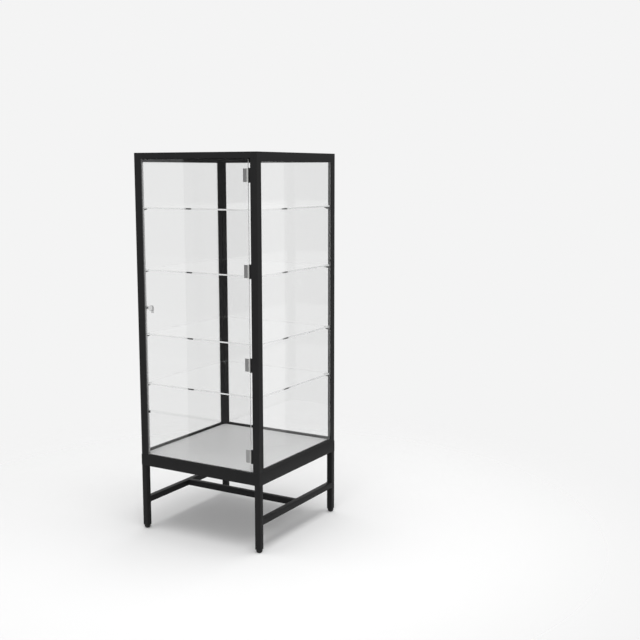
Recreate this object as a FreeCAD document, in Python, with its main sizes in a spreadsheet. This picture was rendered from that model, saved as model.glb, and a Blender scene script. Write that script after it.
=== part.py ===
import FreeCAD, Part
import os
import re
import Sketcher

# Case and stand, overall
case_width = 600
case_depth = 600
stand_overhang = 1
hollow_overrun = 1

# Stand tubes and glides
glide_height = 14
glide_radius = 12
glide_foot_radius = 7
glide_bevel_height = 9
glide_plug_height = 18
glide_plug_gap = 0.1
leg_size = 25
leg_length = 264
tube_wall = 1.5
apron_height = 50
stretcher_size = 25
stretcher_drop = 140
bearer_size = 25

# Posts: folded profile with a slotted inner face
post_face = 30.5
post_return = 4
post_wall = 2
post_length = 1237
slot_width = 3.2
slot_height = 10
slot_pitch = 15
slot_count = 56
slot_first = 249.5

# Top
rail_height = 23
top_thick = 2

# Glazing channels and fixed panes
channel_width = 12
sill_height = 13.5
sill_groove_floor = 3.5
head_height = 12
head_groove = 8
head_slack = 1.5
pane_thick = 4
pane_recess = 1.5
groove_gap = 0.2
seal_thick = 1.5

# Floor panel
floor_thick = 4
floor_gap = 0.3
floor_post_gap = 0.6
floor_setback = 14

# Shelves and their brackets
shelf_thick = 6
shelf_inset = 15
shelf_post_gap = 3
shelf_a_slot_count = 52
shelf_b_slot_count = 35
shelf_c_slot_count = 17
shelf_d_slot_count = 3
arm_length = 25
arm_height = 13
arm_tip_height = 4
arm_thick = 2.5
arm_above_slot = 2
hook_gap = 0.3
hook_thick = 2
hook_drop = 2.6
hook_height = 7

# Door glass, jamb, seal and bumper
door_thick = 5
door_recess = 3.5
door_top_gap = 1.5
door_bottom_gap = 3
door_lock_gap = 1.5
door_seat_gap = 0.5
jamb_width = 6.5
jamb_depth = 13.6
top_seal_depth = 8
bumper_length = 7
bumper_height = 10
bumper_level = 181

# Hinges
hinge_height = 56
hinge_first = 66.8
hinge_last = 64.4
hinge_count = 4
pin_radius = 2
pin_gap = 0.05
pin_to_post = 7.5
pin_setback = 3
pin_head = 0.5
barrel_radius = 3.5
barrel_glass_gap = 0.5
leaf_thick = 2.5
leaf_reach = 26
ear_thick = 2
ear_gap = 0.3
web_thick = 2

# Lock
lock_inset = 26.5
lock_level = 627
lock_flange_radius = 11
lock_flange_thick = 4.5
lock_flange_bevel = 1.5
lock_barrel_radius = 9
lock_hole_gap = 0.5
lock_barrel_tail = 5.5
lock_nut_thick = 4
lock_nut_radius = 14
plug_radius = 6
plug_head_radius = 7.5
plug_head_thick = 2
plug_gap = 0.05
plug_thrust_gap = 0.1
plug_recess = 0.4
plug_square = 7
keyway_width = 1.4
keyway_height = 7
keyway_depth = 5
cam_thick = 2
cam_reach = 20
cam_width = 12
cam_hub_radius = 8
cam_strike_gap = 0.4
strike_thick = 1.5
strike_height = 24
strike_lip = 0.8
strike_tongue = 13
strike_tongue_height = 10
screw_head_radius = 5
screw_head_thick = 2.5
screw_radius = 2
screw_length = 7

# Every size above is one named cell of the sheet, and the pieces take it from there
doc = FreeCAD.newDocument("display_case")
sheet = doc.addObject("Spreadsheet::Sheet", "Sizes")
sizes = [name for name, value in globals().items() if isinstance(value, (int, float))]
for row, name in enumerate(sizes, 1):
    cell = "A%d" % row
    sheet.set(cell, str(globals()[name]))
    sheet.setAlias(cell, name)
nodes = []

# Levels and reference lines, all from the sizes above
half_w = "case_width / 2"
half_d = "case_depth / 2"
stand_w = "(case_width / 2 + stand_overhang)"
stand_d = "(case_depth / 2 + stand_overhang)"
apron_low = "(glide_height + leg_length)"
case_low = "(glide_height + leg_length + apron_height)"
rail_low = "(glide_height + leg_length + apron_height + post_length)"
top_low = "(glide_height + leg_length + apron_height + post_length + rail_height)"
inner_w = "(case_width / 2 - post_face)"
inner_d = "(case_depth / 2 - post_face)"
pin_x = "(case_width / 2 - post_face - pin_to_post)"
pin_y = "(pin_setback - case_depth / 2)"
glass_front = "(door_recess - case_depth / 2)"
glass_back = "(door_recess + door_thick - case_depth / 2)"
seat_y = "(door_recess + door_thick + door_seat_gap - case_depth / 2)"
glass_left = "(post_face + jamb_width + door_lock_gap - case_width / 2)"
glass_right = "(case_width / 2 - post_face - pin_to_post - barrel_radius - barrel_glass_gap)"
jamb_left = "(post_face - case_width / 2)"
jamb_right = "(post_face + jamb_width - case_width / 2)"
jamb_back = "(jamb_depth - case_depth / 2)"
lock_x = glass_left + " + lock_inset"
lock_z = case_low + " + lock_level"
lock_front = "(door_recess - lock_flange_thick - case_depth / 2)"
cam_front = "(jamb_depth + strike_thick + cam_strike_gap - case_depth / 2)"
cam_back = "(jamb_depth + strike_thick + cam_strike_gap + cam_thick - case_depth / 2)"
corner_line = "(post_face + post_return)"


def bind(obj, prop, text):
    obj.setExpression(prop, re.sub(r"\b[a-z]+(?:_[a-z]+)+\b", r"Sizes.\g<0>", text))


def place(obj, at, axis=(0, 0, 1), turn=0):
    obj.Placement = FreeCAD.Placement(
        FreeCAD.Vector(0, 0, 0), FreeCAD.Rotation(FreeCAD.Vector(*axis), turn)
    )
    for letter, text in zip("xyz", at):
        bind(obj, "Placement.Base." + letter, text)


def node(obj):
    nodes.append(obj)
    return obj


def box(label, x, y, z):
    solid = doc.addObject("Part::Box", label)
    for side, letter, (low, high) in zip(("Length", "Width", "Height"), "xyz", (x, y, z)):
        bind(solid, side, "(%s) - (%s)" % (high, low))
        bind(solid, "Placement.Base." + letter, low)
    return solid


def rod(label, at, radius, length, axis=(0, 0, 1), turn=0):
    solid = doc.addObject("Part::Cylinder", label)
    bind(solid, "Radius", radius)
    bind(solid, "Height", length)
    place(solid, at, axis, turn)
    return solid


def rod_y(label, x, y, z, radius):
    low, high = y
    return rod(label, (x, low, z), radius, "(%s) - (%s)" % (high, low), (1, 0, 0), -90)


def fuse(label, *shapes):
    solid = doc.addObject("Part::MultiFuse", label)
    solid.Shapes = shapes
    solid.Refine = True
    return solid


def cut(label, base, *tools):
    solid = doc.addObject("Part::Cut", label)
    solid.Base = base
    solid.Tool = tools[0] if len(tools) == 1 else fuse(label + "_tools", *tools)
    return solid


def group(label, solids):
    bundle = doc.addObject("Part::Compound", label)
    bundle.Links = solids
    return bundle


def tube(label, x, y, z, along):
    """Square or rectangular tube, open at both ends of the axis it runs along."""
    reach = {"x": x, "y": y, "z": z}
    hollow = {}
    for letter, (low, high) in reach.items():
        grow = "- hollow_overrun" if letter == along else "+ tube_wall"
        shrink = "+ hollow_overrun" if letter == along else "- tube_wall"
        hollow[letter] = ("%s %s" % (low, grow), "%s %s" % (high, shrink))
    return cut(label, box(label + "_bar", x, y, z), box(label + "_hollow", *hollow.values()))


def wedge(label, run, near, far, low, high, spread):
    """Bar with ends mitred at 45 degrees between the depths near and far."""
    bar = doc.addObject("Part::Wedge", label)
    ends = {
        "Xmin": "%s - %s" % (near, spread),
        "Xmax": "%s - (%s) + %s" % (run, near, spread),
        "X2min": "%s - %s" % (far, spread),
        "X2max": "%s - (%s) + %s" % (run, far, spread),
        "Ymin": near,
        "Ymax": far,
        "Zmin": low,
        "Zmax": high,
        "Z2min": low,
        "Z2max": high,
    }
    for prop, text in ends.items():
        bind(bar, prop, text)
    return bar


def mitred_ring(stem, across, deep, level, wide, tall):
    """Four mitred tubes that close a square frame, one for each side."""
    sides = {
        "front": ("2 * " + across, "-" + across, "-" + deep, 0),
        "right": ("2 * " + deep, across, "-" + deep, 90),
        "rear": ("2 * " + across, across, deep, 180),
        "left": ("2 * " + deep, "-" + across, deep, 270),
    }
    for side, (run, x, y, turn) in sides.items():
        label = stem + "_" + side
        bar = wedge(label + "_bar", run, "0", wide, "0", tall, "0")
        hollow = wedge(
            label + "_hollow", run, "tube_wall", wide + " - tube_wall",
            "tube_wall", tall + " - tube_wall", "hollow_overrun",
        )
        rail = node(cut(label, bar, hollow))
        place(rail, (x, y, level), turn=turn)


def outline(body, plane, loops, lift=None):
    """Closed loops of straight lines, every corner held by its two distances from the origin."""
    support = [f for f in body.Origin.OriginFeatures if f.Role == plane][0]
    sketch = body.newObject("Sketcher::SketchObject", body.Name + "_outline")
    sketch.AttachmentSupport = [(support, "")]
    sketch.MapMode = "FlatFace"
    if lift:
        bind(sketch, "AttachmentOffset.Base.z", lift)
    for loop, points in enumerate(loops):
        first = sketch.GeometryCount
        count = len(points)
        ring = [FreeCAD.Vector(1, 0, 0)]
        step = FreeCAD.Rotation(FreeCAD.Vector(0, 0, 1), 360 / count)
        for _ in points[1:]:
            ring.append(step.multVec(ring[-1]))
        for i in range(count):
            sketch.addGeometry(Part.LineSegment(ring[i], ring[(i + 1) % count]), False)
        for i, point in enumerate(points):
            line = first + i
            after = first + (i + 1) % count
            sketch.addConstraint(Sketcher.Constraint("Coincident", line, 2, after, 1))
            for kind, text, start in zip(("DistanceX", "DistanceY"), point, (ring[i].x, ring[i].y)):
                held = sketch.addConstraint(Sketcher.Constraint(kind, -1, 1, line, 1, start))
                name = "%s_%d_%d" % (kind, loop, i)
                sketch.renameConstraint(held, name)
                bind(sketch, "Constraints." + name, text)
    return sketch


def pad(body, sketch, length, both_ways=False):
    feature = body.newObject("PartDesign::Pad", body.Name + "_pad")
    feature.Profile = sketch
    feature.Midplane = both_ways
    bind(feature, "Length", length)
    return feature


def plate(label, plane, loops, length, both_ways=False):
    body = doc.addObject("PartDesign::Body", label)
    pad(body, outline(body, plane, loops), length, both_ways)
    return body


def turned(label, profile):
    """Solid turned about the vertical axis of its profile of radius and height."""
    body = doc.addObject("PartDesign::Body", label)
    sketch = outline(body, "XZ_Plane", [profile])
    feature = body.newObject("PartDesign::Revolution", label + "_turn")
    feature.Profile = sketch
    feature.ReferenceAxis = (sketch, ["V_Axis"])
    feature.Angle = 360
    return body


# Corners of the plan: sign of x, sign of y and the heading of the way in to the middle
corners = {
    "front_left": ("-", "-", 45),
    "front_right": ("", "-", 135),
    "rear_right": ("", "", 225),
    "rear_left": ("-", "", 315),
}


def corner_point(name, offset_w, offset_d):
    x_sign, y_sign, _ = corners[name]
    return "%s(%s)" % (x_sign, offset_w), "%s(%s)" % (y_sign, offset_d)


def span(sign, near, far):
    return (near, far) if not sign else ("-(%s)" % far, "-(%s)" % near)


# Stand: four mitred apron tubes, welded to the four legs under their corners
mitred_ring("apron", stand_w, stand_d, apron_low, "leg_size", "apron_height")
for name, (x_sign, y_sign, _) in corners.items():
    leg_x = span(x_sign, stand_w + " - leg_size", stand_w)
    leg_y = span(y_sign, stand_d + " - leg_size", stand_d)
    node(tube("leg_" + name, leg_x, leg_y, ("glide_height", apron_low), "z"))

# Stretchers: one tube between the legs of each side, and one across between those two
stretcher_z = (apron_low + " - stretcher_drop - stretcher_size", apron_low + " - stretcher_drop")
stretcher_y = ("-(%s - leg_size)" % stand_d, stand_d + " - leg_size")
for side, x_sign in (("left", "-"), ("right", "")):
    stretcher_x = span(x_sign, stand_w + " - stretcher_size", stand_w)
    node(tube("stretcher_" + side, stretcher_x, stretcher_y, stretcher_z, "y"))
cross_x = ("-(%s - stretcher_size)" % stand_w, stand_w + " - stretcher_size")
cross_y = ("-stretcher_size / 2", "stretcher_size / 2")
node(tube("stretcher_centre", cross_x, cross_y, stretcher_z, "x"))

# Bearer: tube between the front and rear aprons, under the middle of the floor panel
bearer_x = ("-bearer_size / 2", "bearer_size / 2")
bearer_y = ("-(%s - leg_size)" % stand_d, stand_d + " - leg_size")
node(tube("floor_bearer", bearer_x, bearer_y, (case_low + " - bearer_size", case_low), "y"))

# Glides: bevelled plastic foot with a square plug that pushes into the leg
glide_half = "(leg_size / 2 - tube_wall - glide_plug_gap)"
glides = []
for name in corners:
    foot = turned("glide_" + name, [
        ("0", "0"),
        ("glide_foot_radius", "0"),
        ("glide_radius", "glide_bevel_height"),
        ("glide_radius", "glide_height"),
        ("0", "glide_height"),
    ])
    plug = outline(foot, "XY_Plane", [[
        ("-" + glide_half, "-" + glide_half),
        (glide_half, "-" + glide_half),
        (glide_half, glide_half),
        ("-" + glide_half, glide_half),
    ]], "glide_height")
    pad(foot, plug, "glide_plug_height")
    x, y = corner_point(name, stand_w + " - leg_size / 2", stand_d + " - leg_size / 2")
    place(foot, (x, y, "0"))
    glides.append(foot)
node(group("leg_glides", glides))

# Posts: folded sheet closed on the inner side by a slotted face set at 45 degrees
skew = "sqrt(0.5)"
post_outer = [
    ("0", "-%s * %s" % (skew, corner_line)),
    (skew + " * post_face", "-%s * post_return" % skew),
    (skew + " * (post_face - post_return)", "0"),
    ("-%s * (post_face - post_return)" % skew, "0"),
    ("-%s * post_face" % skew, "-%s * post_return" % skew),
]
wall_shift = "(2 - sqrt(2)) * post_wall"
post_hollow = [
    ("0", "sqrt(2) * post_wall - %s * %s" % (skew, corner_line)),
    (skew + " * (post_face - 2 * post_wall)", "-%s * post_return" % skew),
    ("%s * (post_face - post_return - %s)" % (skew, wall_shift), "-post_wall"),
    ("-%s * (post_face - post_return - %s)" % (skew, wall_shift), "-post_wall"),
    ("-%s * (post_face - 2 * post_wall)" % skew, "-%s * post_return" % skew),
]
slot = [
    ("-slot_width / 2", "slot_first - slot_height / 2"),
    ("slot_width / 2", "slot_first - slot_height / 2"),
    ("slot_width / 2", "slot_first + slot_height / 2"),
    ("-slot_width / 2", "slot_first + slot_height / 2"),
]
for name, (x_sign, y_sign, heading) in corners.items():
    post = plate("post_" + name, "XY_Plane", [post_outer, post_hollow], "post_length")
    pocket = post.newObject("PartDesign::Pocket", post.Name + "_slot")
    pocket.Profile = outline(post, "XZ_Plane", [slot])
    pocket.Reversed = True
    bind(pocket, "Length", "post_wall + hook_gap")
    row = post.newObject("PartDesign::LinearPattern", post.Name + "_slots")
    row.Originals = [pocket]
    row.Direction = (pocket.Profile[0], ["V_Axis"])
    bind(row, "Length", "slot_pitch * (round(slot_count) - 1)")
    bind(row, "Occurrences", "round(slot_count)")
    post.Tip = row
    x, y = corner_point(name, half_w + " - %s / 2" % corner_line, half_d + " - %s / 2" % corner_line)
    place(node(post), (x, y, case_low), turn=heading - 90)

# Top: mitred tubes on the posts, with a steel sheet over them
mitred_ring("rail", half_w, half_d, rail_low, "post_face", "rail_height")
top_x = ("-case_width / 2", half_w)
top_y = ("-case_depth / 2", half_d)
node(box("top_panel", top_x, top_y, (top_low, top_low + " + top_thick")))

# Glazing: grooved channels at bottom and top, panes in the grooves, seals at the panes' edges
sill_z = (case_low, case_low + " + sill_height")
sill_groove_z = (case_low + " + sill_groove_floor", case_low + " + sill_height + hollow_overrun")
head_z = (rail_low + " - head_height", rail_low)
head_groove_z = (
    rail_low + " - head_height - hollow_overrun",
    rail_low + " - head_height + head_groove",
)
pane_z = (case_low + " + sill_groove_floor", rail_low + " - head_height + head_groove - head_slack")
seal_z = (case_low + " + sill_height", rail_low + " - head_height")
seals = []
for side, x_sign, y_sign in (("left", "-", None), ("right", "", None), ("rear", None, "")):
    along = inner_d if y_sign is None else inner_w
    outer = half_w if y_sign is None else half_d
    sign = x_sign if y_sign is None else y_sign
    run = ("-" + along, along)
    deep = span(sign, outer + " - channel_width", outer)
    groove = span(
        sign, outer + " - pane_recess - pane_thick - groove_gap", outer + " - pane_recess + groove_gap"
    )
    groove_run = ("-(%s + hollow_overrun)" % along, along + " + hollow_overrun")
    glass = span(sign, outer + " - pane_recess - pane_thick", outer + " - pane_recess")
    pane_run = ("-(%s - seal_thick)" % along, along + " - seal_thick")
    low_run = ("-" + along, "-(%s - seal_thick)" % along)
    high_run = (along + " - seal_thick", along)

    def lay(across, length):
        return (across, length) if y_sign is None else (length, across)

    for stem, level, groove_level in (("sill_", sill_z, sill_groove_z), ("head_", head_z, head_groove_z)):
        label = stem + side
        bar = box(label + "_bar", *lay(deep, run), level)
        node(cut(label, bar, box(label + "_groove", *lay(groove, groove_run), groove_level)))
    node(box("pane_" + side, *lay(glass, pane_run), pane_z))
    seals.append(box("seal_a_" + side, *lay(glass, low_run), seal_z))
    seals.append(box("seal_b_" + side, *lay(glass, high_run), seal_z))
node(group("pane_seals", seals))


def cut_corner_plan(side, front, rear, gap):
    """Plan of a panel whose corners are cut along the posts' inner faces."""
    line = "(%s + sqrt(2) * %s)" % (corner_line, gap)
    x_side = "(%s - %s)" % (half_w, side)
    y_side = "(%s - %s + %s)" % (half_d, line, side)
    x_front = "(%s - %s + %s)" % (half_w, line, front)
    x_rear = "(%s - %s + %s)" % (half_w, line, rear)
    y_front = "-(%s - %s)" % (half_d, front)
    y_rear = "(%s - %s)" % (half_d, rear)
    return [
        ("-" + x_front, y_front),
        (x_front, y_front),
        (x_side, "-" + y_side),
        (x_side, y_side),
        (x_rear, y_rear),
        ("-" + x_rear, y_rear),
        ("-" + x_side, y_side),
        ("-" + x_side, "-" + y_side),
    ]


# Floor panel: pale board that lies on the aprons, behind the door and inside the channels
floor_side = "(channel_width + floor_gap)"
floor_plan = cut_corner_plan(floor_side, "floor_setback", floor_side, "floor_post_gap")
floor = plate("floor_panel", "XY_Plane", [floor_plan], "floor_thick")
place(node(floor), ("0", "0", case_low))

# Shelves: glass plates with cut corners, each on four arms hooked in the posts' slots
shelf_plan = cut_corner_plan("shelf_inset", "shelf_inset", "shelf_inset", "shelf_post_gap")
slot_low = "(-arm_above_slot - slot_height)"
hook_near = "-(post_wall + hook_gap)"
hook_far = "-(post_wall + hook_gap + hook_thick)"
arm_shape = [
    ("0", "0"),
    ("arm_length", "0"),
    ("arm_length", "-arm_tip_height"),
    ("0", "-arm_height"),
    ("0", slot_low),
    (hook_near, slot_low),
    (hook_near, slot_low + " - hook_drop"),
    (hook_far, slot_low + " - hook_drop"),
    (hook_far, slot_low + " + hook_height"),
    ("0", slot_low + " + hook_height"),
]
for number, letter in enumerate("abcd", 1):
    seat = case_low + " + slot_first + slot_pitch * round(shelf_%s_slot_count)" % letter
    seat = seat + " + slot_height / 2 + arm_above_slot"
    shelf = plate("shelf_%d" % number, "XY_Plane", [shelf_plan], "shelf_thick")
    place(node(shelf), ("0", "0", seat))
    arms = []
    for name, (x_sign, y_sign, heading) in corners.items():
        arm = plate("arm_%d_%s" % (number, name), "XZ_Plane", [arm_shape], "arm_thick", True)
        x, y = corner_point(name, half_w + " - %s / 2" % corner_line, half_d + " - %s / 2" % corner_line)
        place(arm, (x, y, seat), turn=heading)
        arms.append(arm)
    node(group("shelf_%d_brackets" % number, arms))

# Door surround: closing strip at the lock edge, rubber seal at the top, rubber stop and strike
jamb_x = (jamb_left, jamb_right)
node(box("jamb_strip", jamb_x, ("-case_depth / 2", jamb_back), (case_low, rail_low)))
top_seal_y = (seat_y, seat_y + " + top_seal_depth")
top_seal_z = (rail_low + " - head_height", rail_low)
node(box("door_top_seal", (jamb_right, inner_w), top_seal_y, top_seal_z))
bumper_z = (case_low + " + bumper_level", case_low + " + bumper_level + bumper_height")
node(box("door_bumper", (jamb_right, jamb_right + " + bumper_length"), (seat_y, jamb_back), bumper_z))
strike_z = (lock_z + " - strike_height / 2", lock_z + " + strike_height / 2")
strike_y = (jamb_back, jamb_back + " + strike_thick")
strike_back = box("strike_back", (jamb_left, jamb_right + " + strike_lip"), strike_y, strike_z)
strike_side = box("strike_side", (jamb_right, jamb_right + " + strike_lip"), (seat_y, jamb_back), strike_z)
tongue_x = (jamb_right, jamb_right + " + strike_tongue")
tongue_z = (lock_z + " - strike_tongue_height / 2", lock_z + " + strike_tongue_height / 2")
strike_tip = box("strike_tip", tongue_x, strike_y, tongue_z)
node(fuse("strike_plate", strike_back, strike_side, strike_tip))

# Door: frameless pane, drilled for the lock
door_x = (glass_left, glass_right)
door_z = (case_low + " + door_bottom_gap", rail_low + " - door_top_gap")
door = box("door_pane", door_x, (glass_front, glass_back), door_z)
hole_y = (glass_front + " - hollow_overrun", glass_back + " + hollow_overrun")
lock_hole = rod_y("door_lock_hole", lock_x, hole_y, lock_z, "lock_barrel_radius + lock_hole_gap")
node(cut("door_glass", door, lock_hole))

# Hinges: bracket welded to the post's edge, pin held in its two ears, leaf bonded to the glass
hinge_pitch = "((post_length - hinge_first - hinge_last) / (hinge_count - 1))"
ear_y = (pin_y + " - barrel_radius", pin_y + " + barrel_radius")
pins = []
for number in range(1, hinge_count + 1):
    middle = "(%s + hinge_first + %d * %s)" % (case_low, number - 1, hinge_pitch)
    foot_z = middle + " - hinge_height / 2"
    head_of = middle + " + hinge_height / 2"
    label = "hinge_%d_" % number
    web_y = ("-case_depth / 2", "post_return - case_depth / 2")
    parts = [box(label + "web", (inner_w + " - web_thick", inner_w), web_y, (foot_z, head_of))]
    for ear, low in (("low", foot_z), ("high", head_of + " - ear_thick")):
        ear_z = (low, low + " + ear_thick")
        parts.append(box(label + "ear_" + ear, (pin_x, inner_w), ear_y, ear_z))
        parts.append(rod(label + "eye_" + ear, (pin_x, pin_y, low), "barrel_radius", "ear_thick"))
    bore_low = foot_z + " - hollow_overrun"
    bore_length = "hinge_height + 2 * hollow_overrun"
    eye_bore = rod(label + "eye_bore", (pin_x, pin_y, bore_low), "pin_radius", bore_length)
    node(cut(label + "bracket", fuse(label + "bracket_bar", *parts), eye_bore))
    pin_low = foot_z + " - pin_head"
    pins.append(rod(label + "pin", (pin_x, pin_y, pin_low), "pin_radius", "hinge_height + 2 * pin_head"))
    leaf_z = (foot_z + " + ear_thick + ear_gap", head_of + " - ear_thick - ear_gap")
    leaf_length = "hinge_height - 2 * ear_thick - 2 * ear_gap"
    leaf_y = (glass_front + " - leaf_thick", glass_front)
    leaf_bar = box(label + "leaf_bar", (pin_x + " - leaf_reach", pin_x), leaf_y, leaf_z)
    barrel = rod(label + "barrel", (pin_x, pin_y, leaf_z[0]), "barrel_radius", leaf_length)
    leaf_bore = rod(label + "leaf_bore", (pin_x, pin_y, bore_low), "pin_radius + pin_gap", bore_length)
    node(cut(label + "leaf", fuse(label + "leaf_sheet", leaf_bar, barrel), leaf_bore))
node(group("hinge_pins", pins))

# Lock body: flanged barrel, bored and counterbored for the plug, clamped by a nut behind the glass
barrel_length = "(lock_flange_thick + door_thick + lock_barrel_tail)"
bore = "(plug_radius + plug_gap)"
counterbore = "(plug_head_radius + plug_gap)"
counterbore_depth = "(plug_recess + plug_head_thick + plug_thrust_gap)"
lock_body = turned("lock_body", [
    (counterbore, "0"),
    ("lock_flange_radius - lock_flange_bevel", "0"),
    ("lock_flange_radius", "lock_flange_bevel"),
    ("lock_flange_radius", "lock_flange_thick"),
    ("lock_barrel_radius", "lock_flange_thick"),
    ("lock_barrel_radius", barrel_length),
    (bore, barrel_length),
    (bore, counterbore_depth),
    (counterbore, counterbore_depth),
])
place(node(lock_body), (lock_x, lock_front, lock_z), (1, 0, 0), -90)
nut = doc.addObject("Part::Prism", "lock_nut_blank")
nut.Polygon = 6
bind(nut, "Circumradius", "lock_nut_radius")
bind(nut, "Height", "lock_nut_thick")
place(nut, (lock_x, glass_back, lock_z), (1, 0, 0), -90)
nut_bore = rod_y("lock_nut_bore", lock_x, hole_y, lock_z, "lock_barrel_radius")
bind(nut_bore, "Height", "door_thick + lock_nut_thick + 2 * hollow_overrun")
node(cut("lock_nut", nut, nut_bore))

# Turning plug: headed cylinder with a keyway, a square tail for the cam and a tapped end
plug_front = lock_front + " + plug_recess"
head_y = (plug_front, plug_front + " + plug_head_thick")
plug_y = (plug_front, cam_front)
tail = "plug_square / 2"
tail_x = ("%s - %s" % (lock_x, tail), "%s + %s" % (lock_x, tail))
tail_z = ("%s - %s" % (lock_z, tail), "%s + %s" % (lock_z, tail))
key_x = (lock_x + " - keyway_width / 2", lock_x + " + keyway_width / 2")
key_y = (plug_front + " - hollow_overrun", plug_front + " + keyway_depth")
key_z = (lock_z + " - keyway_height / 2", lock_z + " + keyway_height / 2")
plug_bar = fuse(
    "lock_plug_bar",
    rod_y("plug_head", lock_x, head_y, lock_z, "plug_head_radius"),
    rod_y("plug_shaft", lock_x, plug_y, lock_z, "plug_radius"),
    box("plug_tail", tail_x, (cam_front, cam_back), tail_z),
)
tap_y = (cam_back + " - screw_length", cam_back + " + hollow_overrun")
keyway = box("plug_keyway", key_x, key_y, key_z)
node(cut("lock_plug", plug_bar, keyway, rod_y("plug_tap", lock_x, tap_y, lock_z, "screw_radius")))

# Cam: flat arm that hangs down when unlocked and turns behind the strike
cam_y = (cam_front, cam_back)
arm_x = (lock_x + " - cam_width / 2", lock_x + " + cam_width / 2")
cam_bar = fuse(
    "lock_cam_bar",
    rod_y("cam_hub", lock_x, cam_y, lock_z, "cam_hub_radius"),
    box("cam_arm", arm_x, cam_y, (lock_z + " - cam_reach", lock_z)),
)
cam_hole_y = (cam_front + " - hollow_overrun", cam_back + " + hollow_overrun")
node(cut("lock_cam", cam_bar, box("cam_hole", tail_x, cam_hole_y, tail_z)))
screw_head_y = (cam_back, cam_back + " + screw_head_thick")
shank_y = (cam_back + " - screw_length", cam_back)
node(fuse(
    "cam_screw",
    rod_y("screw_head", lock_x, screw_head_y, lock_z, "screw_head_radius"),
    rod_y("screw_shank", lock_x, shank_y, lock_z, "screw_radius"),
))

doc.recompute()
for obj in doc.Objects:
    if "Invalid" in obj.State or "Error" in obj.State:
        raise RuntimeError("%s: %s" % (obj.Label, obj.State))
for obj in nodes:
    if obj.Shape.isNull() or not obj.Shape.isValid():
        raise RuntimeError("bad shape: " + obj.Label)

os.makedirs("parts", exist_ok=True)
for obj in nodes:
    obj.Shape.exportStep("parts/%s.step" % obj.Label)
    print(obj.Label, len(obj.Shape.Solids), round(obj.Shape.Volume, 1))
print(len(nodes), "nodes")
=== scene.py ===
import bpy
import bmesh
import math
from mathutils import Matrix, Vector


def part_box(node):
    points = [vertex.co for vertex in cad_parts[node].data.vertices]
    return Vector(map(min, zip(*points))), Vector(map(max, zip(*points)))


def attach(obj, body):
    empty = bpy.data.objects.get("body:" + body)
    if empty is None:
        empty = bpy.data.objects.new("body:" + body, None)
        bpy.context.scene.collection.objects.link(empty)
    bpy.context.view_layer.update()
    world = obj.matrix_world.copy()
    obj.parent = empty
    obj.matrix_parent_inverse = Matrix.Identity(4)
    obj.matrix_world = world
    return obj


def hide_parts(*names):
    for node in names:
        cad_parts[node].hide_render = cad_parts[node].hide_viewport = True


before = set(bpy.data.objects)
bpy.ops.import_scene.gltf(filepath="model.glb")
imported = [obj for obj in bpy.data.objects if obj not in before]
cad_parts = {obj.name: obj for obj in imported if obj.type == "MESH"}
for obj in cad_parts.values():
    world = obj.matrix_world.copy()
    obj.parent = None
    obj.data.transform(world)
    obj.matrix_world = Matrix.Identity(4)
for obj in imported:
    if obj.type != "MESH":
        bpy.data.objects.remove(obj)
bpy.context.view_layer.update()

# Apron: four rectangular steel tubes, cut at 45 degrees and welded to a ring that
# carries the case. The seams are ground flush, and the ring is powder coated
# satin black together with the legs.


def surface_grain():
    """Soft patches and fine height of a sprayed, moulded or rolled surface."""
    group = bpy.data.node_groups.new("surface_grain", "ShaderNodeTree")
    group.interface.new_socket("Patch scale", in_out="INPUT", socket_type="NodeSocketFloat")
    group.interface.new_socket("Grain scale", in_out="INPUT", socket_type="NodeSocketFloat")
    group.interface.new_socket("Stretch", in_out="INPUT", socket_type="NodeSocketVector")
    group.interface.new_socket("Patches", in_out="OUTPUT", socket_type="NodeSocketFloat")
    group.interface.new_socket("Grain", in_out="OUTPUT", socket_type="NodeSocketFloat")
    nodes, links = group.nodes, group.links
    given = nodes.new("NodeGroupInput")
    result = nodes.new("NodeGroupOutput")
    place = nodes.new("ShaderNodeTexCoord")
    drawn = nodes.new("ShaderNodeVectorMath")
    drawn.operation = "MULTIPLY"
    links.new(place.outputs["Object"], drawn.inputs[0])
    links.new(given.outputs["Stretch"], drawn.inputs[1])
    for size, out, detail in (("Patch scale", "Patches", 4), ("Grain scale", "Grain", 2)):
        noise = nodes.new("ShaderNodeTexNoise")
        noise.inputs["Detail"].default_value = detail
        links.new(drawn.outputs["Vector"], noise.inputs["Vector"])
        links.new(given.outputs[size], noise.inputs["Scale"])
        links.new(noise.outputs["Fac"], result.inputs[out])
    return group


grain = surface_grain()
even = (1, 1, 1)
grain_height = 0.0002


def finish(
    name, dark, light, rough, spread, patch, fine, bump, metallic=0.0, specular=0.5, stretch=even,
):
    """Material whose colour, roughness and height all follow the grain."""
    material = bpy.data.materials.new(name)
    material.use_nodes = True
    nodes, links = material.node_tree.nodes, material.node_tree.links
    shader = nodes["Principled BSDF"]
    shader.inputs["Metallic"].default_value = metallic
    shader.inputs["Specular IOR Level"].default_value = specular
    pattern = nodes.new("ShaderNodeGroup")
    pattern.node_tree = grain
    pattern.inputs["Patch scale"].default_value = patch
    pattern.inputs["Grain scale"].default_value = fine
    pattern.inputs["Stretch"].default_value = stretch
    tone = nodes.new("ShaderNodeMix")
    tone.data_type = "RGBA"
    tone.inputs["A"].default_value = (*dark, 1)
    tone.inputs["B"].default_value = (*light, 1)
    links.new(pattern.outputs["Patches"], tone.inputs["Factor"])
    links.new(tone.outputs["Result"], shader.inputs["Base Color"])
    gloss = nodes.new("ShaderNodeMapRange")
    gloss.inputs["To Min"].default_value = rough - spread
    gloss.inputs["To Max"].default_value = rough + spread
    links.new(pattern.outputs["Patches"], gloss.inputs["Value"])
    links.new(gloss.outputs["Result"], shader.inputs["Roughness"])
    height = nodes.new("ShaderNodeBump")
    height.inputs["Strength"].default_value = bump
    height.inputs["Distance"].default_value = grain_height
    links.new(pattern.outputs["Grain"], height.inputs["Height"])
    links.new(height.outputs["Normal"], shader.inputs["Normal"])
    return material


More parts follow.
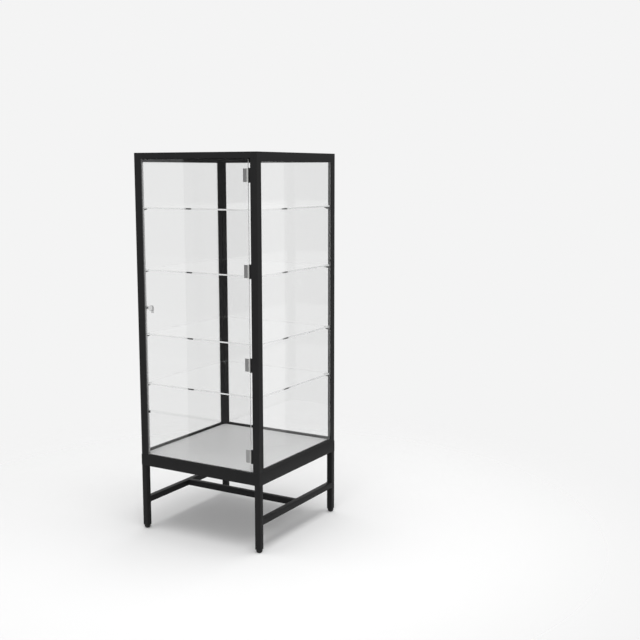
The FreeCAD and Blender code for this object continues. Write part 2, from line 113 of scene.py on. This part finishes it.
powder_black = finish(
    "powder_black", dark=(0.0165, 0.0165, 0.0168), light=(0.0225, 0.0225, 0.0229),
    rough=0.44, spread=0.06, patch=25, fine=900, bump=0.25, specular=0.09,
)
merge_gap = 0.000001
smooth_below = math.radians(40)


def piece_of(name, shape, material, body, slot, *nodes):
    """Closes a modelled shape as a named piece that rides on its body."""
    bmesh.ops.remove_doubles(shape, verts=shape.verts, dist=merge_gap)
    bmesh.ops.recalc_face_normals(shape, faces=shape.faces)
    mesh = bpy.data.meshes.new(name)
    shape.to_mesh(mesh)
    shape.free()
    mesh.shade_smooth()
    mesh.set_sharp_from_angle(angle=smooth_below)
    mesh.materials.append(material)
    piece = bpy.data.objects.new(name, mesh)
    bpy.context.collection.objects.link(piece)
    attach(piece, body)
    if nodes:
        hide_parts(*nodes)
    return piece


tube_wall = 0.0015
tube_rounding = 0.0022
saw_spare = 0.01


def cut_tube(node, along, ends):
    """Rounded steel tube on the place of a packed one, sawn by the plane at each end."""
    low, high = (Vector(corner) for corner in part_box(node))
    stock = Vector((0, 0, 0))
    stock[along] = saw_spare
    shape = bmesh.new()
    bmesh.ops.create_cube(shape, size=1.0)
    bmesh.ops.scale(shape, vec=high - low + 2 * stock, verts=shape.verts)
    bmesh.ops.translate(shape, vec=(low + high) / 2, verts=shape.verts)
    closed = [f for f in shape.faces if abs(f.normal[along]) > 0.5]
    bmesh.ops.delete(shape, geom=closed, context="FACES_ONLY")
    seams = [e for e in shape.edges if abs((e.verts[1].co - e.verts[0].co)[along]) > saw_spare]
    bmesh.ops.bevel(
        shape, geom=seams, offset=tube_rounding, affect="EDGES", segments=3, profile=0.5, material=-1,
    )
    bmesh.ops.solidify(shape, geom=shape.faces[:], thickness=tube_wall)
    for point, outward in ends:
        everything = shape.verts[:] + shape.edges[:] + shape.faces[:]
        sawn = bmesh.ops.bisect_plane(
            shape, geom=everything, plane_co=point, plane_no=outward, clear_outer=True,
        )
        rim = [e for e in sawn["geom_cut"] if isinstance(e, bmesh.types.BMEdge)]
        bmesh.ops.bridge_loops(shape, edges=rim)
    return shape


ring_low, ring_high = (Vector(corner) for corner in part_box("apron_front"))
ring_half = ring_high.x
along_x, along_y, along_z = 0, 1, 2
for side, along, sign in (
    ("front", along_x, -1), ("rear", along_x, 1), ("left", along_y, -1), ("right", along_y, 1),
):
    mitres = []
    for end in (-1, 1):
        corner = Vector((sign * ring_half, sign * ring_half, ring_low.z))
        corner[along] = end * ring_half
        outward = Vector((-sign, -sign, 0))
        outward[along] = end
        mitres.append((corner, outward))
    piece_of(
        "apron_tube_" + side, cut_tube("apron_" + side, along, mitres), powder_black,
        "frame", "frame_black", "apron_" + side,
    )

# Legs: square steel tube, sawn to length and open below. They are welded under the
# corners of the apron, ground flush outside and coated with it.
corners = ("front_left", "front_right", "rear_left", "rear_right")
for corner in corners:
    low, high = (Vector(c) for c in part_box("leg_" + corner))
    top = high + Vector((0, 0, tube_rounding))
    up = Vector((0, 0, 1))
    piece_of(
        "leg_tube_" + corner, cut_tube("leg_" + corner, along_z, ((low, -up), (top, up))),
        powder_black, "frame", "frame_black", "leg_" + corner,
    )

# Stretchers and bearer: square tube between the legs as an H, and one more across the
# apron under the middle of the floor panel, all welded between their neighbours.
for name, along in (
    ("stretcher_left", along_y), ("stretcher_right", along_y),
    ("stretcher_centre", along_x), ("floor_bearer", along_y),
):
    low, high = (Vector(c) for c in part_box(name))
    reach = Vector((0, 0, 0))
    reach[along] = tube_rounding
    way = reach.normalized()
    piece_of(
        name + "_tube", cut_tube(name, along, ((low - reach, -way), (high + reach, way))),
        powder_black, "frame", "frame_black", name,
    )

# Weld beads: short rippled runs left standing in the inner corners of the stand,
# where the leg, stretcher and bearer tubes meet, under the same black coat.
bead_radius = 0.0021
bead_sides = 8
bead_end, bead_waist, bead_swell = 0.6, 0.9, 0.12
ripple = 0.0014
edge_rest, bearer_rest = 0.0025, 0.003


def weld_run(shape, start, end):
    """One run of weld along a joint, with the ripples of its pool."""
    run = end - start
    steps = round(run.length / ripple)
    ring = bmesh.ops.create_circle(
        shape, cap_ends=True, radius=bead_radius, segments=bead_sides,
    )["verts"]
    turn = Vector((0, 0, 1)).rotation_difference(run).to_matrix()
    bmesh.ops.rotate(shape, verts=ring, cent=(0, 0, 0), matrix=turn)
    bmesh.ops.translate(shape, verts=ring, vec=start)
    bmesh.ops.scale(shape, vec=(bead_end,) * 3, space=Matrix.Translation(-start), verts=ring)
    edges = [e for e in shape.edges if e.verts[0] in ring and e.verts[1] in ring]
    size = bead_end
    for step in range(1, steps + 1):
        grown = bmesh.ops.extrude_edge_only(shape, edges=edges)["geom"]
        ring = [v for v in grown if isinstance(v, bmesh.types.BMVert)]
        edges = [e for e in grown if isinstance(e, bmesh.types.BMEdge)]
        edges = [e for e in edges if e.verts[0] in ring and e.verts[1] in ring]
        bmesh.ops.translate(shape, verts=ring, vec=run / steps)
        wanted = bead_end if step == steps else bead_waist + bead_swell * (step % 2)
        middle = start + run * (step / steps)
        bmesh.ops.scale(
            shape, vec=(wanted / size,) * 3, space=Matrix.Translation(-middle), verts=ring,
        )
        size = wanted
    bmesh.ops.contextual_create(shape, geom=edges)


shape = bmesh.new()
low, high = (Vector(c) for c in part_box("leg_rear_right"))
level, leg_out = ring_low.z, ring_half - edge_rest
leg_in = ring_half - (high.x - low.x)
bar_low, bar_high = (Vector(c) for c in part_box("stretcher_centre"))
bearer_low, bearer_high = (Vector(c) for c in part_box("floor_bearer"))
runs = []
for sx in (-1, 1):
    for sy in (-1, 1):
        inner = (sx * leg_in, sy * leg_in)
        runs.append(((sx * leg_in, sy * leg_out, level), (*inner, level)))
        runs.append(((sx * leg_out, sy * leg_in, level), (*inner, level)))
        for height in (bar_low.z, bar_high.z):
            runs.append(((sx * leg_out, sy * leg_in, height), (*inner, height)))
        side = sy * bar_high.y
        runs.append(((sx * leg_in, side, bar_low.z), (sx * leg_in, side, bar_high.z)))
        side, top = sx * bearer_high.x, bearer_high.z - bearer_rest
        runs.append(((side, sy * leg_in, bearer_low.z), (side, sy * leg_in, top)))
for sy in (-1, 1):
    under = (sy * leg_in, bearer_low.z)
    runs.append(((bearer_low.x, *under), (bearer_high.x, *under)))
for start, end in runs:
    weld_run(shape, Vector(start), Vector(end))
piece_of("stand_welds", shape, powder_black, "frame", "frame_black")

# Glides: moulded black plastic feet with rounded corners and a domed sole,
# each pushed into the open end of a leg by its square plug.
moulded_black = finish(
    "moulded_black", dark=(0.012, 0.012, 0.012), light=(0.02, 0.02, 0.02),
    rough=0.5, spread=0.05, patch=60, fine=1500, bump=0.2, specular=0.3,
)
cap_half, cap_high, cap_rounding, sole_rounding = 0.0121, 0.0138, 0.0095, 0.0085
plug_half, plug_top, plug_rounding = 0.0106, 0.030, 0.0015


def moulded_block(shape, middle, half, low, high, upright, sole):
    """Square block with rounded uprights and, where it is given, a rounded sole."""
    block = bmesh.ops.create_cube(shape, size=1.0)["verts"]
    bmesh.ops.scale(shape, vec=(2 * half, 2 * half, high - low), verts=block)
    bmesh.ops.translate(shape, vec=middle + Vector((0, 0, (low + high) / 2)), verts=block)
    edges = [e for e in shape.edges if e.verts[0] in block and e.verts[1] in block]
    uprights = [e for e in edges if abs(e.verts[0].co.z - e.verts[1].co.z) > upright]
    rounded = bmesh.ops.bevel(
        shape, geom=uprights, offset=upright, affect="EDGES", segments=4, profile=0.5, material=-1,
    )
    faces = [f for f in shape.faces if f.verts[0] in rounded["verts"]]
    under = [f for f in faces if f.normal.z < -0.9]
    if sole:
        bmesh.ops.bevel(
            shape, geom=[e for f in under for e in f.edges], offset=sole, affect="EDGES", segments=6,
            profile=0.5, material=-1, clamp_overlap=True,
        )


shape = bmesh.new()
for corner in corners:
    low, high = (Vector(c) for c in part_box("leg_" + corner))
    under = Vector(((low.x + high.x) / 2, (low.y + high.y) / 2, 0))
    moulded_block(shape, under, cap_half, 0.0, cap_high, cap_rounding, sole_rounding)
    moulded_block(shape, under, plug_half, cap_high, plug_top, plug_rounding, 0.0)
piece_of("leg_glide_feet", shape, moulded_black, "frame", "black_plastic", "leg_glides")

# Posts: folded sheet steel with a slotted inner face that the shelf arms hook into.
# They stand on the apron and carry the top, all welded and coated black.
triangle_seam = 0.00001
sharp_above = math.radians(30)


def dress(name, material, edge):
    """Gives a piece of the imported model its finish, and breaks its sharp edges."""
    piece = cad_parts[name]
    piece.data.materials.clear()
    piece.data.materials.append(material)
    weld = piece.modifiers.new("weld", "WELD")
    weld.merge_threshold = triangle_seam
    bevel = piece.modifiers.new("edge", "BEVEL")
    bevel.width = edge
    bevel.segments = 2
    bevel.limit_method = "ANGLE"
    bevel.angle_limit = sharp_above
    bevel.harden_normals = True


fold_edge = 0.0005
for corner in corners:
    dress("post_" + corner, powder_black, fold_edge)

# Top: four steel tubes, mitred and welded to a ring on the posts, and a flat steel
# sheet welded over them, under the same black coat.
rail_edge, sheet_edge = 0.0004, 0.0005
for side in ("front", "rear", "left", "right"):
    dress("rail_" + side, powder_black, rail_edge)
dress("top_panel", powder_black, sheet_edge)

# Glazing channels: grooved steel bars along the bottom and the top of each fixed
# side, which hold the panes by their lower and upper edges.
channel_edge = 0.0005
for side in ("left", "right", "rear"):
    dress("sill_" + side, powder_black, channel_edge)
    dress("head_" + side, powder_black, channel_edge)

# Floor panel: thin board faced with pale grey laminate, sawn to shape and laid loose
# on the apron and the bearer.
laminate = finish(
    "pale_laminate", dark=(0.82, 0.82, 0.82), light=(0.86, 0.86, 0.86),
    rough=0.5, spread=0.06, patch=40, fine=1200, bump=0.08, specular=0.4,
)
board_edge = 0.0005
dress("floor_panel", laminate, board_edge)

# Fixed panes: clear float glass with polished edges, set in the channels, with
# a black rubber strip between each upright edge and the post.
float_index = 1.5
wave_shade, wave_patch, wave_fine = 0.992, 4, 40
pane_shade = (0.95, 0.95, 0.95, 1)


def clear_glass(name, tint, index=float_index):
    """Clear glass that lets lamp light through to what stands behind it."""
    material = bpy.data.materials.new(name)
    material.use_nodes = True
    nodes, links = material.node_tree.nodes, material.node_tree.links
    shader = nodes["Principled BSDF"]
    shader.inputs["Transmission Weight"].default_value = 1.0
    shader.inputs["IOR"].default_value = index
    shader.inputs["Roughness"].default_value = 0.0
    pattern = nodes.new("ShaderNodeGroup")
    pattern.node_tree = grain
    pattern.inputs["Patch scale"].default_value = wave_patch
    pattern.inputs["Grain scale"].default_value = wave_fine
    pattern.inputs["Stretch"].default_value = even
    tone = nodes.new("ShaderNodeMix")
    tone.data_type = "RGBA"
    tone.inputs["A"].default_value = (*(c * wave_shade for c in tint), 1)
    tone.inputs["B"].default_value = (*tint, 1)
    links.new(pattern.outputs["Patches"], tone.inputs["Factor"])
    links.new(tone.outputs["Result"], shader.inputs["Base Color"])
    rays = nodes.new("ShaderNodeLightPath")
    clear = nodes.new("ShaderNodeBsdfTransparent")
    clear.inputs["Color"].default_value = pane_shade
    either = nodes.new("ShaderNodeMixShader")
    links.new(rays.outputs["Is Shadow Ray"], either.inputs["Fac"])
    links.new(shader.outputs["BSDF"], either.inputs[1])
    links.new(clear.outputs["BSDF"], either.inputs[2])
    links.new(either.outputs["Shader"], nodes["Material Output"].inputs["Surface"])
    return material


side_glass = clear_glass("side_glass", (0.985, 0.987, 0.986))
black_rubber = finish(
    "black_rubber", dark=(0.008, 0.008, 0.008), light=(0.014, 0.014, 0.014),
    rough=0.7, spread=0.08, patch=80, fine=2500, bump=0.15, specular=0.3,
)
pane_arris, seal_edge = 0.0004, 0.0002
for side in ("left", "right", "rear"):
    dress("pane_" + side, side_glass, pane_arris)
dress("pane_seals", black_rubber, seal_edge)

# Shelves: thicker clear glass with polished edges and cut corners, each laid loose on
# four tapered steel arms that hook into the posts' slots.
dense_index = 1.6
shelf_glass = clear_glass("shelf_glass", (0.985, 0.988, 0.987), dense_index)
arm_steel = finish(
    "arm_steel", dark=(0.40, 0.40, 0.40), light=(0.52, 0.52, 0.52),
    rough=0.36, spread=0.06, patch=120, fine=2000, bump=0.1, metallic=1.0,
)
shelf_arris, arm_edge = 0.0003, 0.0003
for number in ("1", "2", "3", "4"):
    dress("shelf_" + number, shelf_glass, shelf_arris)
    dress("shelf_%s_brackets" % number, arm_steel, arm_edge)

# Door surround: a black closing strip beside the lock edge with a pale grey felt on the
# side that faces the glass, a rubber seal under the front rail and a rubber stop.
jamb_coat = finish(
    "jamb_coat", dark=(0.21, 0.21, 0.21), light=(0.25, 0.25, 0.25),
    rough=0.5, spread=0.06, patch=40, fine=1500, bump=0.15, specular=0.2,
)
strip_black = (0.018, 0.018, 0.0184, 1)
felt_depth = 0.0004
strip_edge, soft_edge = 0.0006, 0.0015


def across(material):
    """Place on a piece from the lock side to the hinge side."""
    spot = material.node_tree.nodes.new("ShaderNodeTexCoord")
    axes = material.node_tree.nodes.new("ShaderNodeSeparateXYZ")
    material.node_tree.links.new(spot.outputs["Object"], axes.inputs["Vector"])
    return axes.outputs["X"]


nodes, links = jamb_coat.node_tree.nodes, jamb_coat.node_tree.links
shader = nodes["Principled BSDF"]
felt = shader.inputs["Base Color"].links[0].from_socket
inner_face = nodes.new("ShaderNodeMath")
inner_face.operation = "GREATER_THAN"
inner_face.inputs[1].default_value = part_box("jamb_strip")[1][0] - felt_depth
links.new(across(jamb_coat), inner_face.inputs[0])
two_tone = nodes.new("ShaderNodeMix")
two_tone.data_type = "RGBA"
two_tone.inputs["A"].default_value = strip_black
links.new(inner_face.outputs["Value"], two_tone.inputs["Factor"])
links.new(felt, two_tone.inputs["B"])
links.new(two_tone.outputs["Result"], shader.inputs["Base Color"])
dress("jamb_strip", jamb_coat, strip_edge)
dress("door_top_seal", black_rubber, soft_edge)
dress("door_bumper", black_rubber, soft_edge)

# Door: one frameless pane of toughened glass, drilled for the lock. Its edges are polished,
# and the one beside the hinges is only ground.
door_glass = clear_glass("door_glass", (0.93, 0.932, 0.931))
door_arris = 0.0005
ground_from, ground_full, ground_rough = 0.0008, 0.0006, 1.0
nodes, links = door_glass.node_tree.nodes, door_glass.node_tree.links
glass_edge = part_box("door_glass")[1][0]
ground_edge = nodes.new("ShaderNodeMapRange")
ground_edge.inputs["From Min"].default_value = glass_edge - ground_from
ground_edge.inputs["From Max"].default_value = glass_edge - ground_full
ground_edge.inputs["To Max"].default_value = ground_rough
links.new(across(door_glass), ground_edge.inputs["Value"])
links.new(ground_edge.outputs["Result"], nodes["Principled BSDF"].inputs["Roughness"])
dress("door_glass", door_glass, door_arris)

# Hinges: black brackets welded to the post, steel pins, and leaves of brushed steel
# bonded to the face of the glass. Beside its knuckle each leaf has a pale band, a painted
# highlight where the rounded edge would catch the light, and the knuckle is coloured black.
brushed_steel = finish(
    "brushed_steel", dark=(0.48, 0.48, 0.48), light=(0.58, 0.58, 0.58),
    rough=0.55, spread=0.07, patch=300, fine=900, bump=0.12, metallic=1.0, stretch=(1, 1, 0.05),
)
# The pale band is a painted highlight laid over the leaf, not a part of its own.
highlight_width, highlight_end = 0.005, 0.0028
painted_highlight_colour, knuckle_colour = (0.5, 0.5, 0.49, 1), (0.02, 0.02, 0.02, 1)
nodes, links = brushed_steel.node_tree.nodes, brushed_steel.node_tree.links
shader = nodes["Principled BSDF"]
sheet_tone = shader.inputs["Base Color"].links[0].from_socket
place = across(brushed_steel)
zones = []
for start in (glass_edge - highlight_width, glass_edge + highlight_end):
    beyond = nodes.new("ShaderNodeMath")
    beyond.operation = "GREATER_THAN"
    beyond.inputs[1].default_value = start
    links.new(place, beyond.inputs[0])
    zones.append(beyond)
tone = sheet_tone
for zone, colour in zip(zones, (painted_highlight_colour, knuckle_colour)):
    layer = nodes.new("ShaderNodeMix")
    layer.data_type = "RGBA"
    layer.inputs["B"].default_value = colour
    links.new(zone.outputs["Value"], layer.inputs["Factor"])
    links.new(tone, layer.inputs["A"])
    tone = layer.outputs["Result"]
links.new(tone, shader.inputs["Base Color"])
# The painted highlight and the black knuckle are not metallic.
bare = nodes.new("ShaderNodeMath")
bare.operation = "SUBTRACT"
bare.inputs[0].default_value = 1.0
links.new(zones[0].outputs["Value"], bare.inputs[1])
links.new(bare.outputs["Value"], shader.inputs["Metallic"])
bracket_edge, leaf_edge, pin_edge = 0.0003, 0.0004, 0.0003
for number in ("1", "2", "3", "4"):
    dress("hinge_%s_bracket" % number, powder_black, bracket_edge)
    dress("hinge_%s_leaf" % number, brushed_steel, leaf_edge)
dress("hinge_pins", arm_steel, pin_edge)

# Cam lock: nickel plated body clamped through the glass by a nut, with a turning
# plug that carries a plated cam behind the door. The strike is fixed behind the strip.
nickel = finish(
    "nickel_plate", dark=(0.86, 0.86, 0.86), light=(0.93, 0.93, 0.93),
    rough=0.28, spread=0.05, patch=200, fine=2500, bump=0.05, metallic=0.4,
)
turned_edge, pressed_edge = 0.0002, 0.0003
for name in ("lock_body", "lock_nut", "lock_plug"):
    dress(name, nickel, turned_edge)
for name in ("lock_cam", "cam_screw"):
    dress(name, nickel, pressed_edge)
dress("strike_plate", arm_steel, pressed_edge)

# Studio floor: a pale seamless sheet that fades into an even pale backdrop. Less light
# bounces off it than the camera sees.
floor_radius, fade_from, fade_to = 12.0, 0.5, 2.1
floor_seen, floor_bounced = (0.9, 0.9, 0.9, 1), (0.45, 0.45, 0.45, 1)
floor_mesh = bpy.data.meshes.new("studio_floor")
shape = bmesh.new()
bmesh.ops.create_circle(shape, cap_ends=True, radius=floor_radius, segments=96)
shape.to_mesh(floor_mesh)
shape.free()
studio_floor = bpy.data.objects.new("studio_floor", floor_mesh)
bpy.context.collection.objects.link(studio_floor)
pale = bpy.data.materials.new("studio_pale")
pale.use_nodes = True
nodes, links = pale.node_tree.nodes, pale.node_tree.links
shader = nodes["Principled BSDF"]
rays = nodes.new("ShaderNodeLightPath")
tone = nodes.new("ShaderNodeMix")
tone.data_type = "RGBA"
tone.inputs["A"].default_value = floor_seen
tone.inputs["B"].default_value = floor_bounced
links.new(rays.outputs["Is Diffuse Ray"], tone.inputs["Factor"])
links.new(tone.outputs["Result"], shader.inputs["Base Color"])
shader.inputs["Roughness"].default_value = 0.9
shader.inputs["Specular IOR Level"].default_value = 0.1
spot = nodes.new("ShaderNodeTexCoord")
reach = nodes.new("ShaderNodeVectorMath")
reach.operation = "LENGTH"
links.new(spot.outputs["Object"], reach.inputs[0])
fade = nodes.new("ShaderNodeMapRange")
fade.interpolation_type = "SMOOTHSTEP"
fade.inputs["From Min"].default_value = fade_from
fade.inputs["From Max"].default_value = fade_to
links.new(reach.outputs["Value"], fade.inputs["Value"])
gone = nodes.new("ShaderNodeBsdfTransparent")
either = nodes.new("ShaderNodeMixShader")
links.new(fade.outputs["Result"], either.inputs["Fac"])
links.new(shader.outputs["BSDF"], either.inputs[1])
links.new(gone.outputs["BSDF"], either.inputs[2])
links.new(either.outputs["Shader"], nodes["Material Output"].inputs["Surface"])
floor_mesh.materials.append(pale)

# Room: an even pale light all round. Only what is mirrored once, as in the panes, sees
# its walls. Each wall starts at a bearing in degrees, counted from the front by way of
# the left, and is lighter or darker than the next.
ambient, backdrop_level = 0.59, 0.905
walls = ((0, 0.14), (37.9, 0.72), (90, 0.95), (180, 0.45), (211.536, 0.76), (259.2, 0.14))
mirrors, mirror_margin = 1, 0.5
world = bpy.data.worlds.new("studio")
bpy.context.scene.world = world
world.use_nodes = True
nodes, links = world.node_tree.nodes, world.node_tree.links
sky = nodes["Background"]
rays = nodes.new("ShaderNodeLightPath")
way = nodes.new("ShaderNodeTexCoord")
parts = nodes.new("ShaderNodeSeparateXYZ")
links.new(way.outputs["Generated"], parts.inputs["Vector"])
turn = nodes.new("ShaderNodeMath")
turn.operation = "ARCTAN2"
links.new(parts.outputs["X"], turn.inputs[0])
links.new(parts.outputs["Y"], turn.inputs[1])
heading = nodes.new("ShaderNodeMapRange")
heading.inputs["From Min"].default_value = -math.pi
heading.inputs["From Max"].default_value = math.pi
links.new(turn.outputs["Value"], heading.inputs["Value"])
round_room = nodes.new("ShaderNodeValToRGB")
round_room.color_ramp.interpolation = "CONSTANT"
band = round_room.color_ramp.elements
for number, (bearing, level) in enumerate(walls):
    step = band[number] if number < len(band) else band.new(bearing / 360)
    step.position = bearing / 360
    step.color = (level, level, level, 1)
links.new(heading.outputs["Result"], round_room.inputs["Fac"])
seen = nodes.new("ShaderNodeMath")
seen.operation = "MAXIMUM"
links.new(rays.outputs["Is Camera Ray"], seen.inputs[0])
links.new(rays.outputs["Is Transmission Ray"], seen.inputs[1])
lit = nodes.new("ShaderNodeMix")
lit.data_type = "RGBA"
lit.inputs["A"].default_value = (ambient, ambient, ambient, 1)
lit.inputs["B"].default_value = (backdrop_level, backdrop_level, backdrop_level, 1)
links.new(seen.outputs["Value"], lit.inputs["Factor"])
mirrored = nodes.new("ShaderNodeMath")
mirrored.operation = "COMPARE"
mirrored.inputs[1].default_value = mirrors
mirrored.inputs[2].default_value = mirror_margin
links.new(rays.outputs["Glossy Depth"], mirrored.inputs[0])
backdrop = nodes.new("ShaderNodeMix")
backdrop.data_type = "RGBA"
links.new(mirrored.outputs["Value"], backdrop.inputs["Factor"])
links.new(lit.outputs["Result"], backdrop.inputs["A"])
links.new(round_room.outputs["Color"], backdrop.inputs["B"])
links.new(backdrop.outputs["Result"], sky.inputs["Color"])

# Lamps: one broad soft box overhead and a smaller one in front, both kept out of the
# picture and out of the reflections.
for name, spot, size, power, aim in (
    ("overhead", (0.5, -0.15, 4.2), 3.6, 128, (0.0, 0.0, 0.4)),
    ("front_fill", (0.9, -4.2, 1.3), 2.0, 38, (0.0, 0.0, 1.0)),
):
    lamp = bpy.data.lights.new(name, "AREA")
    lamp.shape = "SQUARE"
    lamp.size = size
    lamp.energy = power
    holder = bpy.data.objects.new(name, lamp)
    bpy.context.collection.objects.link(holder)
    holder.location = spot
    holder.rotation_euler = (Vector(aim) - Vector(spot)).to_track_quat("-Z", "Y").to_euler()
    holder.visible_camera = False
    holder.visible_glossy = False
    holder.visible_transmission = False

# Camera: at eye height in front and to the right of the hinge post. Light is followed
# through many layers of glass, so that the polished edges stay clear.
sensor_width, focal_length = 36, 56.59
tilt, turn = math.radians(81.573), math.radians(30.315)
lens = bpy.data.cameras.new("camera")
lens.sensor_width = sensor_width
lens.lens = focal_length
camera = bpy.data.objects.new("camera", lens)
bpy.context.collection.objects.link(camera)
camera.location = (2.4488, -3.5005, 1.5169)
camera.rotation_euler = (tilt, 0, turn)
bpy.context.scene.camera = camera
bpy.context.scene.view_settings.view_transform = "Standard"
bpy.context.scene.cycles.max_bounces = 48
bpy.context.scene.cycles.glossy_bounces = 32
bpy.context.scene.cycles.transmission_bounces = 48
bpy.context.scene.cycles.transparent_max_bounces = 32
